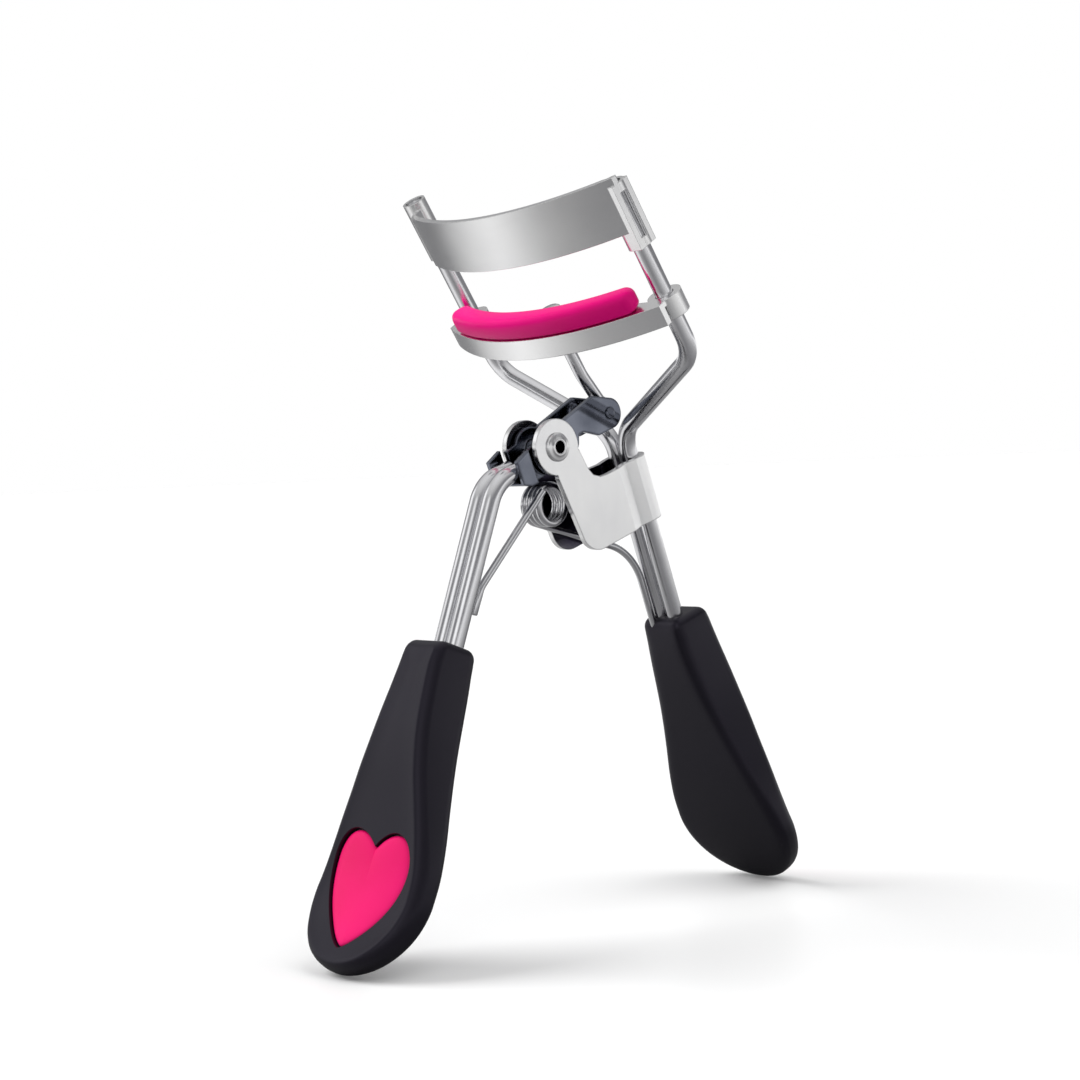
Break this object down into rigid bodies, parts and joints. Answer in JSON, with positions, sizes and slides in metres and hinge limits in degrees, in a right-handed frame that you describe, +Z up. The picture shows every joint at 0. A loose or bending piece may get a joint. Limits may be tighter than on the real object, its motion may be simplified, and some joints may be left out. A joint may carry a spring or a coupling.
{
  "type": "eyelash curler",
  "caption": "Hand-held eyelash curler with sliding padded lower jaw on guide rods, sprung lever, wire link and padded grips with heart inlays.",
  "frame": {"origin": "midway between the lowest points of the two grips, at the level of the surface the curler stands on", "axes": "+Z up, +X along the jaws, -Y towards the lever handle and the lash side of the jaws"},
  "size_m": [0.0404, 0.077, 0.0949],
  "materials": {
    "polished_wire": "polished",
    "polished_sheet": "polished",
    "satin_sheet": "satin",
    "spring_wire": "bright drawn wire",
    "grip_plastic": "soft-touch black",
    "heart_inlay": "soft satin pink",
    "silicone": "magenta silicone"
  },
  "bodies": {
    "frame": {"frame_wire_right": "polished_wire", "frame_wire_left": "polished_wire", "upper_jaw": "satin_sheet", "bracket": "satin_sheet", "pivot_rivet": "satin_sheet", "return_spring": "spring_wire", "frame_grip": "grip_plastic", "frame_heart": "heart_inlay"},
    "lever": {"lever_plate": "polished_sheet", "lever_wire_right": "polished_wire", "lever_wire_left": "polished_wire", "link_pin": "polished_sheet", "lever_grip": "grip_plastic", "lever_heart": "heart_inlay"},
    "jaw": {"lower_jaw": "satin_sheet", "lash_pad": "silicone"},
    "link_rod": {"link": "polished_wire"}
  },
  "joints": [
    {"name": "lever_turn", "type": "hinge", "parent": "frame", "child": "lever", "pos_m": [0, -0.00183, 0.06108], "axis": [1, 0, 0], "range_deg": [0, 32], "stiffness_Nm_per_rad": 0.1, "springref_deg": -11.46, "deforming": ["return_spring"]},
    {"name": "jaw_slide", "type": "slide", "parent": "frame", "child": "jaw", "axis": [0, -0.5344, 0.8453], "range_m": [0, 0.0063]},
    {"name": "link_turn", "type": "hinge", "parent": "lever", "child": "link_rod", "pos_m": [0, 0.00869, 0.0652], "axis": [1, 0, 0], "range_deg": [-34, 0]}
  ],
  "couplings": [
    {"joint": "jaw_slide", "follows": "lever_turn", "m_per_rad": 0.01108},
    {"joint": "link_turn", "follows": "lever_turn", "ratio": -1.03}
  ]
}
